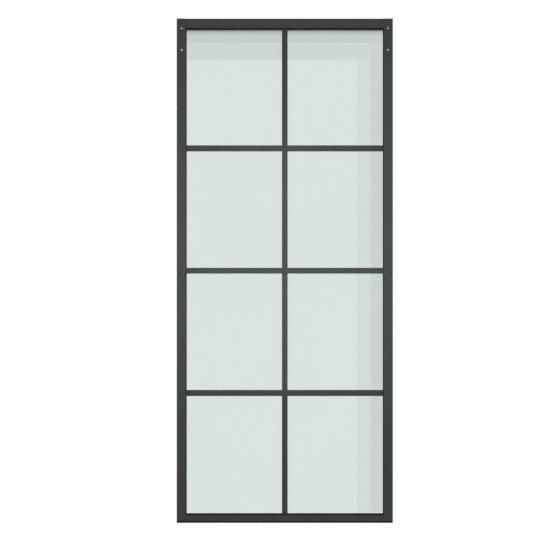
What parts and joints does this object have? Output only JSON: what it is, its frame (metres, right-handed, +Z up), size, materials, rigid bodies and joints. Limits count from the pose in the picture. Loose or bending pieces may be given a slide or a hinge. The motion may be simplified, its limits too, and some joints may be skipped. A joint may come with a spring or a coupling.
{
  "type": "glass door",
  "caption": "Sliding glass door leaf: black metal stiles and rails round upper and lower panes, glazing bars that divide them into lites, and hanger bolt holes through the tops of the stiles.",
  "frame": {"origin": "middle of the leaf's underside, where the two feet of the stiles stand", "axes": "+X across the leaf to the right as seen from the front, +Y from the front to the back, +Z up"},
  "size_m": [0.9144, 0.04, 2.1336],
  "materials": {
    "powder_coat": "satin",
    "glass": "gloss",
    "glazing_rubber": "matte",
    "foam_tape": "matte",
    "mill_aluminium": "satin",
    "zinc_steel": "satin",
    "cap_plastic": "matte"
  },
  "bodies": {
    "root": {"stile_left_upper": "powder_coat", "stile_left_lower": "powder_coat", "stile_right_upper": "powder_coat", "stile_right_lower": "powder_coat", "top_rail": "powder_coat", "middle_rail": "powder_coat", "bottom_rail": "powder_coat", "glass_upper": "glass", "glass_lower": "glass", "gasket_upper": "glazing_rubber", "gasket_lower": "glazing_rubber", "grille_upper_front": "powder_coat", "grille_upper_back": "powder_coat", "grille_lower_front": "powder_coat", "grille_lower_back": "powder_coat", "tape_upper_front": "foam_tape", "tape_upper_back": "foam_tape", "tape_lower_front": "foam_tape", "tape_lower_back": "foam_tape", "splice_left": "mill_aluminium", "splice_right": "mill_aluminium", "splice_screws": "zinc_steel", "rail_screws": "zinc_steel", "access_plugs": "cap_plastic", "hanger_sleeves": "zinc_steel", "cap_top_left": "cap_plastic", "cap_top_right": "cap_plastic", "cap_bottom_left": "cap_plastic", "cap_bottom_right": "cap_plastic"}
  },
  "joints": []
}
